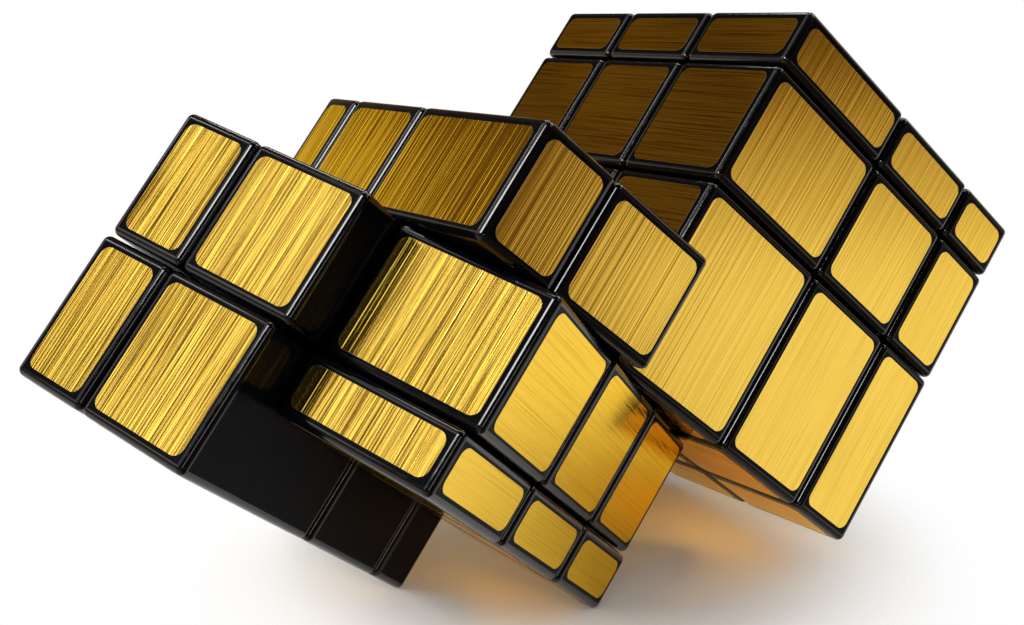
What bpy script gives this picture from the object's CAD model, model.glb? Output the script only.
"""Conjoined mirror block cubes: polished black blocks faced with brushed gold foil.

Two cubes, the cube and its twin, share a bar of three blocks. A block's home is where it belongs in
the squared-up cube, and its spot is where it stands now: both are signs along x, y and z. A block is
built at its home, in millimetres, and its place then turns it to its spot, in metres.
"""

import math
import random

import bmesh
import bpy
from mathutils import Matrix, Vector


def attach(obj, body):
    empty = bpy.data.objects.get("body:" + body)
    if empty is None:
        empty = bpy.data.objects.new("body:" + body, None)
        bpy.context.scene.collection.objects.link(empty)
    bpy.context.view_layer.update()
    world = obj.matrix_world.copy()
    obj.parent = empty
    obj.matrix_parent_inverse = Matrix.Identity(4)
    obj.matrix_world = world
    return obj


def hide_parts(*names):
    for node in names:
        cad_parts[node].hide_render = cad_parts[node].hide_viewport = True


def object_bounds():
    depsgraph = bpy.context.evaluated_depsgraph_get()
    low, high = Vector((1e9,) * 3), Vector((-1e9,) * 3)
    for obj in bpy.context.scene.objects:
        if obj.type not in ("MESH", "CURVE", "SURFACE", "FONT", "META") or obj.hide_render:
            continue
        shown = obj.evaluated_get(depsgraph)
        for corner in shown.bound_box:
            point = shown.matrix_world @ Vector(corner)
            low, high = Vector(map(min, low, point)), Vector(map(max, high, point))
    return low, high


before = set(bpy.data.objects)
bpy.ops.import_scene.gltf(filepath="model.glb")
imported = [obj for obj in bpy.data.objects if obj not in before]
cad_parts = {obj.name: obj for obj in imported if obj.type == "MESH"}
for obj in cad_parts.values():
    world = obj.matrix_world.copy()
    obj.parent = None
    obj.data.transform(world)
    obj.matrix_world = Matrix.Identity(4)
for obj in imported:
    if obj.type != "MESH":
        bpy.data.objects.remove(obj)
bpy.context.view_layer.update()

MM = 0.001

# ---- driving dimensions, as in the CAD ----

HALF = 9.5  # half the thickness of a middle layer
LEFT, RIGHT = 13.0, 25.0  # thicknesses of the outer layers
FRONT, BACK = 29.0, 9.0
BOTTOM, TOP = 21.0, 17.0
REACH = (  # from the core to the outer faces along each axis
    (HALF + LEFT, HALF + RIGHT),
    (HALF + FRONT, HALF + BACK),
    (HALF + BOTTOM, HALF + TOP),
)
TWIN_AT = (REACH[0][1] + HALF, -REACH[1][0] - HALF, 0)  # the twin's core, seen from the cube's
TURNS = (-2.0, 0.0, 64.0)  # degrees of the cube's bottom, middle and joined layers
FACING = -32.0  # degrees of the whole object about the vertical

HALF_GAP = 0.15  # from a block to the plane between two layers
EDGE_RADIUS = 1.0
EDGE_STEPS = 6
HOLLOW_RADIUS = 18.2  # the round hollow that the feet slide in

# ---- details ----

BALL_SEGMENTS = 48
HOLLOW_SLACK = 0.05  # a face this close to the hollow's radius belongs to it
FLAT = 0.999  # a normal with a part above this is square to the block
SHARP_ANGLE = 40  # degrees
POLISHED, RUBBED = 0, 1  # a block's materials in order

FOIL_BORDER = 1.5  # black left round a foil
FOIL_RADIUS = 1.4
FOIL_CORNER_STEPS = 8
FOIL_PROUD = 0.05  # above the block's face
FOIL_SUNK = 0.1  # below it
FOIL_RIM = 0.02  # chamfer round the top
FOIL_CLEARANCE = 1.0  # between the hollow and the bar's foils, which run behind their neighbours
GRAIN_SPREAD = 400  # each foil takes its grain from elsewhere in a square of this side
COARSE, FINE, CUT_EDGE = 0, 1, 2  # a foil's materials in order
RIGHT_WITHIN = 60  # degrees from +X within which a face looks to the right
SEED = 11

# ---- names ----

CUBE, TWIN = 0, 1
SIDES = (-1, 0, 1)
SPOTS = [(x, y, z) for x in SIDES for y in SIDES for z in SIDES if (x, y, z) != (0, 0, 0)]
BAR_SPOT = (1, 0, 1)  # the middle block of the bar, as a spot of the cube
BAR = ("front", "middle", "back")
BODIES = ("bottom_layer", "middle_layer", "joined_layer", "twin_middle_layer", "twin_top_layer")
JOINED = 2  # the cube's last layer and the twin's first
WORDS = (("left", "right"), ("front", "back"), ("bottom", "top"))
KINDS = {1: "centre_cap", 2: "edge_block", 3: "corner_block"}


# ---- placing ----


def turn(degrees, axis="Z"):
    return Matrix.Rotation(math.radians(degrees), 4, axis)


def standing():
    """From the cube's core and axes to the object at rest on three rounded corners."""
    tip = EDGE_RADIUS * (1 - math.sqrt(0.5))
    under = Vector((HALF - HALF_GAP - tip, HALF + BACK - tip, tip - HALF - BOTTOM))
    right = Vector((REACH[0][1] - tip, REACH[2][1] - tip, tip - HALF - BACK))
    twin = Vector((TWIN_AT[0] + REACH[0][0] - tip, REACH[2][1] - tip, HALF + tip))
    corners = [turn(TURNS[0]) @ under, turn(TURNS[0]) @ right, turn(TURNS[2]) @ twin]
    up = (corners[1] - corners[0]).cross(corners[2] - corners[0]).normalized()
    tilt = up.rotation_difference(Vector((0, 0, 1))).to_matrix().to_4x4()
    return Matrix.Translation((0, 0, -up.dot(corners[0]))) @ turn(FACING) @ tilt


STOOD = Matrix.Scale(MM, 4) @ standing()
TWINNED = Matrix.Translation(TWIN_AT) @ turn(180)


def placing(spot, which):
    """From the squared-up cube, centred on its core, to where the block stands, in metres."""
    if which == TWIN:
        return placing(BAR_SPOT, CUBE) @ TWINNED
    return STOOD @ turn(TURNS[spot[2] + 1]) @ turn(-90 if spot[0] == 1 else 0, "X")


def home_of(spot, which):
    """Where a block belongs in the squared-up cube."""
    x, y, z = spot
    if which == TWIN:
        return (-x, z, y)
    return (1, -z, y) if x == 1 else spot


def shared(home):
    """Whether a block is in the bar."""
    return home[:2] == (1, -1)


def body_of(spot, which):
    return BODIES[spot[2] + (JOINED + 1 if which == TWIN else 1)]


def block_name(spot, which):
    words = [WORDS[axis][spot[axis] > 0] for axis in (2, 0, 1) if spot[axis]]
    return "_".join((["twin"] if which == TWIN else []) + [KINDS[len(words)], *words])


def cad_block(spot, which):
    """The CAD node of a block: the four centre caps of a middle layer are one node."""
    if abs(spot[0]) + abs(spot[1]) == 1 and spot[2] == 0:
        return "twin_centre_caps_middle" if which == TWIN else "centre_caps_middle"
    return block_name(spot, which)


# ---- blocks ----


def span(axis, side, gap):
    """From and to along one axis, with a gap left at the planes between the layers."""
    if side == 0:
        return gap - HALF, HALF - gap
    return (HALF + gap, REACH[axis][1]) if side > 0 else (-REACH[axis][0], -HALF - gap)


def block_spans(home):
    """From and to along each axis; the bar's outer sides lie against the twin's layers."""
    spans = [span(axis, home[axis], HALF_GAP) for axis in range(3)]
    if shared(home):
        spans[0] = (spans[0][0], spans[0][1] - HALF_GAP)
        spans[1] = (spans[1][0] + HALF_GAP, spans[1][1])
    return spans


def new_object(name, bm):
    """An object with the mesh of bm, which is freed."""
    mesh = bpy.data.meshes.new(name)
    bm.to_mesh(mesh)
    bm.free()
    made = bpy.data.objects.new(name, mesh)
    bpy.context.collection.objects.link(made)
    return made


def make_object(name, bm, place, *materials):
    bm.transform(place)
    bmesh.ops.recalc_face_normals(bm, faces=bm.faces)
    piece = new_object(name, bm)
    for material in materials:
        piece.data.materials.append(material)
    return piece


def make_ball(radius, at=(0, 0, 0)):
    bm = bmesh.new()
    rings = BALL_SEGMENTS // 2
    bmesh.ops.create_uvsphere(bm, u_segments=BALL_SEGMENTS, v_segments=rings, radius=radius)
    bm.transform(Matrix.Translation(at))
    return new_object("ball", bm)


def rounded_box(spans):
    low, high = (Vector(ends) for ends in zip(*spans))
    shape = Matrix.Translation((low + high) / 2) @ Matrix.Diagonal((*(high - low), 1))
    bm = bmesh.new()
    bmesh.ops.create_cube(bm, size=1)
    bmesh.ops.transform(bm, matrix=shape, verts=bm.verts)
    bmesh.ops.bevel(
        bm,
        geom=bm.edges[:],
        offset=EDGE_RADIUS,
        segments=EDGE_STEPS,
        profile=0.5,
        affect="EDGES",
    )
    return bm


def carve(bm, *balls):
    """Cuts the balls out of a closed mesh."""
    block = new_object("carved", bm)
    for ball in balls:
        cut = block.modifiers.new("hollow", "BOOLEAN")
        cut.operation = "DIFFERENCE"
        cut.solver = "EXACT"
        cut.object = ball
    made = block.evaluated_get(bpy.context.evaluated_depsgraph_get()).to_mesh()
    out = bmesh.new()
    out.from_mesh(made)
    mesh = block.data
    bpy.data.objects.remove(block)
    bpy.data.meshes.remove(mesh)
    return out


def mark_roundings(bm):
    """Gives the rubbed material to every face that is neither square to the block nor in a hollow."""
    bm.normal_update()
    cores = (Vector((0, 0, 0)), Vector(TWIN_AT))
    for face in bm.faces:
        square = max(abs(part) for part in face.normal) > FLAT
        inside = min((face.calc_center_median() - core).length for core in cores)
        hollow = inside < HOLLOW_RADIUS + HOLLOW_SLACK
        face.material_index = POLISHED if square or hollow else RUBBED


def smooth(piece):
    """Smooth roundings with flat faces that stay flat."""
    bm = bmesh.new()
    bm.from_mesh(piece.data)
    for face in bm.faces:
        face.smooth = True
    limit = math.radians(SHARP_ANGLE)
    for edge in bm.edges:
        edge.smooth = len(edge.link_faces) == 2 and edge.calc_face_angle(0) < limit
    bm.to_mesh(piece.data)
    bm.free()
    weigh = piece.modifiers.new("flat_faces", "WEIGHTED_NORMAL")
    weigh.keep_sharp = True
    weigh.weight = 100  # the large face decides


# ---- foils ----


def foil_faces(home):
    """Each face of a block that carries foil: its axis, the way it looks and where it is."""
    if not shared(home):
        return [(a, home[a], home[a] * REACH[a][home[a] > 0]) for a in range(3) if home[a]]
    inner = HALF + HALF_GAP
    ends = [(2, home[2], home[2] * REACH[2][home[2] > 0])] if home[2] else []
    return [(0, -1, inner), (1, 1, -inner), *ends]


def outline(low, high, radius):
    """Points round a rectangle with round corners, counter-clockwise."""
    corners = (
        (high[0] - radius, high[1] - radius, 0),
        (low[0] + radius, high[1] - radius, 1),
        (low[0] + radius, low[1] + radius, 2),
        (high[0] - radius, low[1] + radius, 3),
    )
    return [
        (
            x + radius * math.cos((quadrant + step / FOIL_CORNER_STEPS) * math.pi / 2),
            y + radius * math.sin((quadrant + step / FOIL_CORNER_STEPS) * math.pi / 2),
        )
        for x, y, quadrant in corners
        for step in range(FOIL_CORNER_STEPS + 1)
    ]


def brushing_of(place, axis, side):
    """Which gold a face has: brushed finely where it looks to the right as the object stands."""
    rightward = place.to_3x3().col[axis].normalized().x * side
    return FINE if rightward > math.cos(math.radians(RIGHT_WITHIN)) else COARSE


def add_foil(bm, uv, home, axis, side, face_at, brushing, chance):
    """One foil on a face that looks along axis; its grain runs along the second UV axis."""
    grain = 1 if axis == 2 else 2
    across = 3 - axis - grain
    spans = [span(a, home[a], 0) for a in (across, grain)]
    low = [s[0] + FOIL_BORDER for s in spans]
    high = [s[1] - FOIL_BORDER for s in spans]
    shift = (chance.uniform(0, GRAIN_SPREAD), chance.uniform(0, GRAIN_SPREAD))

    def ring(inset, height):
        inner_low = [v + inset for v in low]
        inner_high = [v - inset for v in high]
        made = []
        for u, v in outline(inner_low, inner_high, FOIL_RADIUS - inset):
            point = [0, 0, 0]
            point[axis] = face_at + side * height
            point[across], point[grain] = u, v
            made.append(bm.verts.new(point))
        return made

    rings = [
        ring(0, -FOIL_SUNK),
        ring(0, FOIL_PROUD - FOIL_RIM),
        ring(FOIL_RIM, FOIL_PROUD),
    ]
    faces = [bm.faces.new(rings[0][::-1]), bm.faces.new(rings[-1])]
    faces[1].material_index = brushing
    count = len(rings[0])
    for lower, upper in zip(rings, rings[1:]):
        for n in range(count):
            m = (n + 1) % count
            faces.append(bm.faces.new((lower[n], lower[m], upper[m], upper[n])))
            faces[-1].material_index = CUT_EDGE
    for face in faces:
        for loop in face.loops:
            at = loop.vert.co
            loop[uv].uv = (at[across] + shift[0], at[grain] + shift[1])


# ---- materials ----

COAL = (0.0012, 0.0016, 0.0026)
DUST = (0.005, 0.006, 0.008)
GOLDS = ((0.92, 0.6, 0.082), (0.95, 0.64, 0.1))
HAIRLINE = (0.42, 0.2, 0.02)
AMBERS = ((0.1, 0.05, 0.008), (0.2, 0.11, 0.02))
DARK_PLASTICS = ((0.018, 0.018, 0.019), (0.035, 0.035, 0.036))
STEELS = ((0.5, 0.5, 0.49), (0.68, 0.68, 0.66))


class Nodes:
    """Adds nodes to a tree and links them by socket name."""

    def __init__(self, tree):
        self.tree = tree
        tree.nodes.clear()

    def add(self, kind, inputs=None, **settings):
        node = self.tree.nodes.new(kind)
        for key, value in settings.items():
            setattr(node, key, value)
        for key, value in (inputs or {}).items():
            if isinstance(value, bpy.types.NodeSocket):
                self.tree.links.new(value, node.inputs[key])
            else:
                node.inputs[key].default_value = value
        return node

    def math(self, operation, *values):
        return self.add("ShaderNodeMath", dict(enumerate(values)), operation=operation).outputs[0]

    def noise(self, vector, scale, detail=2.0, roughness=0.5):
        node = self.add(
            "ShaderNodeTexNoise",
            {"Vector": vector, "Scale": scale, "Detail": detail, "Roughness": roughness},
        )
        return node.outputs["Fac"]

    def ramp(self, value, *stops, mode="LINEAR"):
        """Greys or colours by value; each stop is a position and a grey or a colour."""
        node = self.add("ShaderNodeValToRGB", {"Fac": value})
        node.color_ramp.interpolation = mode
        elements = node.color_ramp.elements
        while len(elements) < len(stops):
            elements.new(0.5)
        for element, (position, colour) in zip(elements, stops):
            element.position = position
            grey = (colour,) * 3 if isinstance(colour, (int, float)) else colour
            element.color = (*grey, 1)
        return node.outputs["Color"]

    def mix(self, factor, a, b):
        node = self.add("ShaderNodeMix", data_type="RGBA")
        for socket, value in ((0, factor), (6, a), (7, b)):
            if isinstance(value, bpy.types.NodeSocket):
                self.tree.links.new(value, node.inputs[socket])
            else:
                node.inputs[socket].default_value = value if socket == 0 else (*value, 1)
        return node.outputs[2]

    def place(self):
        """Where a point is in its object, in metres."""
        return self.add("ShaderNodeTexCoord").outputs["Object"]

    def surface(self, shader):
        self.add("ShaderNodeOutputMaterial", {"Surface": shader.outputs[0]})

    def principled(self, inputs):
        self.surface(self.add("ShaderNodeBsdfPrincipled", inputs))


def new_material(name):
    material = bpy.data.materials.new(name)
    material.use_nodes = True
    return material, Nodes(material.node_tree)


def black_plastic(name, gloss, cloud, *roughness):
    """Moulded plastic, near black, with a faint ripple and fine dust.

    Cloud is the scale, detail and roughness of the noise that the roughness stops apply to.
    """
    material, n = new_material(name)
    at = n.place()
    grit = n.noise(at, 5200, 2, 0.6)
    dust = n.ramp(grit, (0.6, 0), (0.8, 1))
    ripple = {"Height": n.noise(at, 260, 1), "Strength": 0.06, "Distance": 0.0004}
    bump = n.add("ShaderNodeBump", ripple).outputs[0]
    grains = {"Height": grit, "Strength": 0.03, "Distance": 0.00003, "Normal": bump}
    n.principled(
        {
            "Base Color": n.mix(dust, COAL, DUST),
            "Roughness": n.ramp(n.noise(at, *cloud), *roughness),
            "Normal": n.add("ShaderNodeBump", grains).outputs[0],
            "Specular IOR Level": gloss,
        }
    )
    return material


def gloss_black():
    return black_plastic("gloss_black_plastic", 0.05, (90, 3, 0.5), (0.3, 0.15), (0.7, 0.25))


def rubbed_black():
    """The roundings: glossier, with the broken shine that handling leaves."""
    return black_plastic("rubbed_black_plastic", 0.5, (900, 5, 0.75), (0.4, 0.06), (0.65, 0.18))


def brushed_gold(name, depth, darkness):
    """Metallised film: long straight grain along the second UV axis, in dark and bright hairlines.

    Depth is how deep the grain goes, in metres, and darkness how dark its darkest lines are.
    """
    material, n = new_material(name)
    uv = n.add("ShaderNodeUVMap", uv_map="grain").outputs[0]

    def streaks(across, along, detail):
        """Noise drawn out along the grain, by its waves to the millimetre across and along it."""
        scaled = n.add("ShaderNodeVectorMath", {0: uv, 1: (across, along, 0)}, operation="MULTIPLY")
        return n.noise(scaled.outputs[0], 1, detail, 0.6)

    hair = streaks(3.4, 0.02, 1)
    line = streaks(1.4, 0.012, 2)
    band = streaks(0.35, 0.008, 1)
    fleck = streaks(7, 0.9, 2)
    scratch = streaks(6.5, 0.05, 1)
    height = n.math("ADD", n.math("MULTIPLY", hair, 0.35), n.math("MULTIPLY", line, 0.65))
    dark_hair = n.ramp(hair, (0.37, 0.7), (0.42, 0))
    dark_scratch = n.ramp(scratch, (0.38, 0.85), (0.41, 0))
    shade = n.math("MULTIPLY", n.math("MAXIMUM", dark_hair, dark_scratch), darkness)
    mottle = n.math("ADD", n.math("MULTIPLY", fleck, 0.5), n.math("MULTIPLY", hair, 0.5))
    bump = n.add("ShaderNodeBump", {"Height": height, "Strength": 1.0, "Distance": depth})
    tangent = n.add("ShaderNodeTangent", direction_type="UV_MAP", uv_map="grain")
    n.principled(
        {
            "Base Color": n.mix(shade, n.mix(band, *GOLDS), HAIRLINE),
            "Metallic": 1.0,
            "Roughness": n.ramp(mottle, (0.3, 0.08), (0.7, 0.14)),
            "Anisotropic": 0.5,
            "Tangent": tangent.outputs[0],
            "Normal": bump.outputs[0],
            "Specular Tint": (1, 0.72, 0.25, 1),
            "Coat Weight": 0.12,
            "Coat Roughness": 0.15,
        }
    )
    return material


def foil_edge():
    """The dull amber cut edge of the film."""
    material, n = new_material("foil_edge")
    colour = n.mix(n.noise(n.place(), 3000, 2), *AMBERS)
    n.principled({"Base Color": colour, "Roughness": 0.6})
    return material


def mechanism_black():
    material, n = new_material("mechanism_plastic")
    cloud = n.noise(n.place(), 300, 4)
    bump = n.add("ShaderNodeBump", {"Height": cloud, "Strength": 0.2, "Distance": 0.0001})
    n.principled(
        {
            "Base Color": n.mix(cloud, *DARK_PLASTICS),
            "Roughness": n.ramp(cloud, (0.3, 0.3), (0.7, 0.5)),
            "Normal": bump.outputs[0],
        }
    )
    return material


def plated_steel():
    material, n = new_material("steel")
    cloud = n.noise(n.place(), 900, 4)
    n.principled(
        {
            "Base Color": n.mix(cloud, *STEELS),
            "Metallic": 1.0,
            "Roughness": n.ramp(cloud, (0.3, 0.2), (0.7, 0.42)),
        }
    )
    return material


# ---- object ----


def make_shell(name, cad, home, place, body, balls, blacks):
    bm = carve(rounded_box(block_spans(home)), *balls)
    mark_roundings(bm)
    shell = make_object(f"{name}_shell", bm, place, *blacks)
    smooth(shell)
    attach(shell, body)
    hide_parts(cad)


def make_foil(name, home, place, body, golds, chance):
    """All the foils of one block."""
    bm = bmesh.new()
    uv = bm.loops.layers.uv.new("grain")
    for axis, side, face_at in foil_faces(home):
        brushing = brushing_of(place, axis, side)
        add_foil(bm, uv, home, axis, side, face_at, brushing, chance)
    if shared(home):
        clear = make_ball(HOLLOW_RADIUS + FOIL_CLEARANCE)
        bm = carve(bm, clear)
        bpy.data.objects.remove(clear)
    foil = make_object(f"{name}_foil", bm, place, *golds)
    smooth(foil)
    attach(foil, body)
    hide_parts(f"foils_{body}")


def every_block():
    """Name, CAD node, home, place and body of each block: the cube's, the twin's, then the bar's."""
    for which in (CUBE, TWIN):
        for spot in SPOTS:
            home = home_of(spot, which)
            if not shared(home):
                name, cad = block_name(spot, which), cad_block(spot, which)
                yield name, cad, home, placing(spot, which), body_of(spot, which)
    for side in SIDES:
        name = f"joined_block_{BAR[side + 1]}"
        yield name, name, (1, -1, side), placing(BAR_SPOT, CUBE), BODIES[JOINED]


def make_blocks(blacks, golds):
    chance = random.Random(SEED)
    balls = [make_ball(HOLLOW_RADIUS), make_ball(HOLLOW_RADIUS, TWIN_AT)]
    for name, cad, home, place, body in every_block():
        make_shell(name, cad, home, place, body, balls if shared(home) else balls[:1], blacks)
        make_foil(name, home, place, body, golds, chance)
    for ball in balls:
        bpy.data.objects.remove(ball)


def finish_mechanism():
    plastic, steel = mechanism_black(), plated_steel()
    for name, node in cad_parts.items():
        if name.startswith("feet_") or name in ("core", "twin_core"):
            node.data.materials.clear()
            node.data.materials.append(plastic)
        elif name.endswith(("screws", "springs")):
            node.data.materials.clear()
            node.data.materials.append(steel)


# ---- studio: metres and degrees, with the camera in millimetres ----

CAMERA_AT = (14.62, -195.66, 99.27)
CAMERA_RIGHT = (0.99973, 0.00443, 0.02282)
CAMERA_FORWARD = (0.00224, 0.9588, -0.28409)
CAMERA_LENS = 50.32

FLOOR_RADIUS = 1.2
FLOOR_CENTRE = (0.025, 0.014)
FLOOR_SOLID = 0.026  # the paper starts to fade this far from its centre
FLOOR_GONE = 0.066

# The room that reflections show, as degrees and brightness. A bearing of 0 is +X and 90 is +Y.
PAPER_BEARINGS = (
    (-180, 0.9),
    (-120, 0.5),
    (-60, 0.12),
    (-28, 0.1),
    (-22, 0.32),
    (-18, 0.9),
    (-13, 1),
    (60, 1),
    (180, 0.9),
)
PAPER_HEIGHTS = ((-8, 1), (-4, 0.6), (2, 0.07))
WALL_BEARINGS = (
    (-180, 0.25),
    (-60, 0.05),
    (10, 0.06),
    (45, 1),
    (80, 0.06),
    (105, 0.2),
    (130, 1),
    (155, 0.6),
    (180, 0.25),
)
WALL_HEIGHTS = (
    (-2, 0),
    (6, 1),
    (15, 1),
    (23, 0.1),
    (27, 0),
    (31, 0.06),
    (35, 0),
    (39, 0.06),
    (44, 0),
    (80, 0.4),
)
WINDOW_BEARINGS = ((-26, 0), (-16, 1), (44, 1), (58, 0))  # counted from -X
WINDOW_HEIGHTS = ((14, 0), (24, 1), (62, 1), (72, 0))
WINDOW_BRIGHTNESS = 1.6
SLATS = ((0.45, 0.02), (0.55, 1))  # from the dark to the bright half of a slat
SLAT_PERIOD = 24  # degrees
SLAT_PHASE = -0.08  # of half a period
TONES = (
    (0, (0, 0, 0)),
    (0.3, (0.3, 0.19, 0.09)),
    (0.75, (0.75, 0.69, 0.58)),
    (1, (1, 1, 1)),
)
DOME = 0.62  # light on matt surfaces from all round

LAMPS_AIM = Vector((0.015, 0.01, 0.04))
LAMP_DISTANCE = 0.6
LAMPS = (  # name, azimuth, elevation, width and height, radiance: only reflections show these
    ("key_box", 68, 42, (0.3, 0.3), 4),
    ("front_lamp", -153, 46, (0.2, 0.16), 18),
    ("front_strip", 165, 18, (0.3, 0.03), 5),
    ("top_strip", 10, 76, (0.4, 0.04), 12),
    ("back_strip", 6, 43, (0.36, 0.05), 10),
    ("right_strip", 118, 34, (0.03, 0.2), 8),
    ("left_strip", -78, 45, (0.03, 0.25), 10),
)
BOX_DISTANCE = 1.5
BOX = ("left_box", -113, 36, (0.8, 0.8), 11.5)  # reflections don't show this one
GLOWS = (  # name, place, watts
    ("glow_front", (0.012, -0.007, 0.011), 0.007),
    ("glow_right", (0.047, 0.013, 0.015), 0.019),
)
GLOW_COLOUR = (1, 0.48, 0.07)
GLOW_RADIUS = 0.008


def make_camera():
    data = bpy.data.cameras.new("camera")
    data.lens = CAMERA_LENS
    data.sensor_width = 36
    data.clip_start = 0.01
    data.clip_end = 20
    camera = bpy.data.objects.new("camera", data)
    bpy.context.collection.objects.link(camera)
    forward = Vector(CAMERA_FORWARD).normalized()
    up = Vector(CAMERA_RIGHT).cross(forward).normalized()
    right = forward.cross(up)
    facing = Matrix((right, up, -forward)).transposed().to_4x4()
    camera.matrix_world = Matrix.Translation(Vector(CAMERA_AT) * MM) @ facing
    bpy.context.scene.camera = camera


def make_floor(height):
    """A disc of white paper that fades into the white behind it."""
    bm = bmesh.new()
    bmesh.ops.create_circle(bm, cap_ends=True, segments=96, radius=FLOOR_RADIUS)
    material, n = new_material("floor")
    ends = {0: n.place(), 1: Vector((*FLOOR_CENTRE, height))}
    distance = n.add("ShaderNodeVectorMath", ends, operation="DISTANCE").outputs["Value"]
    fade = n.ramp(distance, (FLOOR_SOLID, 1), (FLOOR_GONE, 0), mode="EASE")
    paper = n.add("ShaderNodeBsdfDiffuse", {"Color": (0.9, 0.9, 0.9, 1)})
    clear = n.add("ShaderNodeBsdfTransparent")
    n.surface(n.add("ShaderNodeMixShader", {0: fade, 1: clear.outputs[0], 2: paper.outputs[0]}))
    floor = make_object("floor", bm, Matrix.Translation((0, 0, height)), material)


def by_bearing(n, bearing, stops):
    """Brightness by bearing, from a bearing in radians and stops in degrees."""
    placed = [((d + 180) / 360, value) for d, value in stops]
    return n.ramp(n.math("MULTIPLY_ADD", bearing, 0.5 / math.pi, 0.5), *placed, mode="EASE")


def by_height(n, up, stops):
    """Brightness by height over the horizon, from the upward part of a direction."""
    placed = [(0.5 + 0.5 * math.sin(math.radians(d)), value) for d, value in stops]
    return n.ramp(n.math("MULTIPLY_ADD", up, 0.5, 0.5), *placed, mode="EASE")


def slatted_window(n, way):
    """A large window on the left with upright slats, which the foils on the left mirror as bands."""
    bearing = n.math("ARCTAN2", n.math("MULTIPLY", way["Y"], -1), n.math("MULTIPLY", way["X"], -1))
    half_periods = n.math("MULTIPLY_ADD", bearing, 360 / SLAT_PERIOD / math.pi, SLAT_PHASE)
    slats = n.ramp(n.math("PINGPONG", half_periods, 1), *SLATS, mode="EASE")
    window = n.math(
        "MULTIPLY",
        by_bearing(n, bearing, WINDOW_BEARINGS),
        by_height(n, way["Z"], WINDOW_HEIGHTS),
    )
    return n.math("MULTIPLY", n.math("MULTIPLY", window, slats), WINDOW_BRIGHTNESS)


def mirrored_room(n):
    """What glossy surfaces see: pale paper below, and a dark room with a bright window above."""
    generated = n.add("ShaderNodeTexCoord").outputs["Generated"]
    way = n.add("ShaderNodeSeparateXYZ", {0: generated}).outputs
    bearing = n.math("ARCTAN2", way["Y"], way["X"])
    paper = n.math(
        "MULTIPLY",
        by_bearing(n, bearing, PAPER_BEARINGS),
        by_height(n, way["Z"], PAPER_HEIGHTS),
    )
    walls = n.math(
        "MULTIPLY",
        by_bearing(n, bearing, WALL_BEARINGS),
        by_height(n, way["Z"], WALL_HEIGHTS),
    )
    tone = n.ramp(n.math("ADD", paper, walls), *TONES)
    colours = {0: tone, 1: slatted_window(n, way)}
    return n.add("ShaderNodeVectorMath", colours, operation="ADD").outputs[0]


def make_world():
    """White to the eye and to matt surfaces, and a room to glossy ones."""
    world = bpy.data.worlds.new("studio")
    bpy.context.scene.world = world
    world.use_nodes = True
    n = Nodes(world.node_tree)
    room = n.add("ShaderNodeBackground", {"Color": mirrored_room(n), "Strength": 1.0})
    ray = n.add("ShaderNodeLightPath").outputs
    dome = n.math("MULTIPLY_ADD", ray["Is Diffuse Ray"], DOME - 1, 1.0)
    white = n.add("ShaderNodeBackground", {"Color": (1, 1, 1, 1), "Strength": dome})
    matt = n.math("MAXIMUM", ray["Is Camera Ray"], ray["Is Diffuse Ray"])
    mixed = n.add("ShaderNodeMixShader", {0: matt, 1: room.outputs[0], 2: white.outputs[0]})
    n.add("ShaderNodeOutputWorld", {"Surface": mixed.outputs[0]})


def make_light(name, azimuth, elevation, size, radiance, distance):
    """A soft box aimed at the object; azimuth 0 is +Y and 90 is +X."""
    a, e = math.radians(azimuth), math.radians(elevation)
    away = Vector((math.sin(a) * math.cos(e), math.cos(a) * math.cos(e), math.sin(e)))
    data = bpy.data.lights.new(name, "AREA")
    data.shape = "RECTANGLE"
    data.size, data.size_y = size
    data.energy = radiance * math.pi * size[0] * size[1]
    light = bpy.data.objects.new(name, data)
    light.location = LAMPS_AIM + away * distance
    light.rotation_mode = "QUATERNION"
    light.rotation_quaternion = (-away).to_track_quat("-Z", "Y")
    bpy.context.collection.objects.link(light)
    return light


def make_glow(name, at, watts):
    """The warm light that the foils throw on the paper under the object."""
    data = bpy.data.lights.new(name, "POINT")
    data.shadow_soft_size = GLOW_RADIUS
    data.energy = watts
    data.color = GLOW_COLOUR
    light = bpy.data.objects.new(name, data)
    light.location = at
    light.visible_glossy = False
    bpy.context.collection.objects.link(light)


def make_lights():
    for lamp in LAMPS:
        make_light(*lamp, LAMP_DISTANCE).visible_diffuse = False
    make_light(*BOX, BOX_DISTANCE).visible_glossy = False
    for glow in GLOWS:
        make_glow(*glow)


# ---- scene ----

BLACKS = (gloss_black(), rubbed_black())
FOIL_MATERIALS = (
    brushed_gold("gold_foil", depth=0.000105, darkness=1.0),
    brushed_gold("fine_gold_foil", depth=0.00004, darkness=0.3),
    foil_edge(),
)
make_blocks(BLACKS, FOIL_MATERIALS)
finish_mechanism()
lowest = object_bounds()[0].z
make_camera()
make_floor(lowest)
make_world()
make_lights()
bpy.context.scene.view_settings.view_transform = "Standard"
